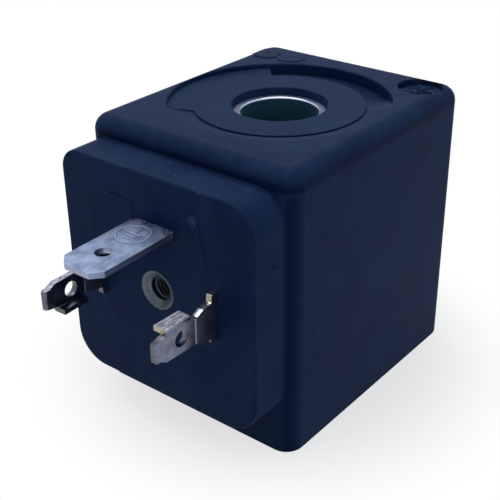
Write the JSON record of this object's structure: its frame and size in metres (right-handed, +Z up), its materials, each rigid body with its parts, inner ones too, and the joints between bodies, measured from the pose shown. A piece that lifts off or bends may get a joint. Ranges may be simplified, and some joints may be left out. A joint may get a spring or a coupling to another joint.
{
  "type": "solenoid valve coil",
  "caption": "Square moulded solenoid valve coil with a steel-ringed bore, a recessed round top seat and a pad with three flat blades and a screw insert for a cable connector.",
  "frame": {"origin": "on the bore's axis, in the coil's bottom face", "axes": "+Z up the bore towards the recessed top face; the connector pad and its blades face -Y; +X is to the right when the pad is looked at from the front"},
  "size_m": [0.032, 0.0556, 0.0384],
  "materials": {
    "moulding": "satin moulded thermoset, dark blue-black",
    "bobbin_plastic": "moulded glass-filled plastic, dark grey",
    "carrier_plastic": "moulded plastic in the body's colour",
    "copper_wire": "enamelled copper wire",
    "tape": "polyester tape, yellow",
    "yoke_steel": "zinc-plated strip steel",
    "ring_steel": "zinc-plated turned steel, bright",
    "blade_metal": "tinned brass, satin and mottled",
    "insert_metal": "nickel-plated brass, dull grey",
    "sleeve_plastic": "woven insulating sleeve",
    "solder": "solder, bright"
  },
  "bodies": {
    "root": {"encapsulation": "moulding", "bobbin": "bobbin_plastic", "winding": "copper_wire", "winding_tape": "tape", "yoke_frame": "yoke_steel", "upper_pole_ring": "ring_steel", "lower_pole_ring": "ring_steel", "terminal_carrier": "carrier_plastic", "ground_blade": "blade_metal", "ground_rivet": "yoke_steel", "line_terminal_right": "blade_metal", "line_terminal_left": "blade_metal", "screw_insert": "insert_metal", "start_lead": "copper_wire", "finish_lead": "copper_wire", "start_lead_sleeve": "sleeve_plastic", "finish_lead_sleeve": "sleeve_plastic", "start_solder_joint": "solder", "finish_solder_joint": "solder"}
  },
  "joints": []
}
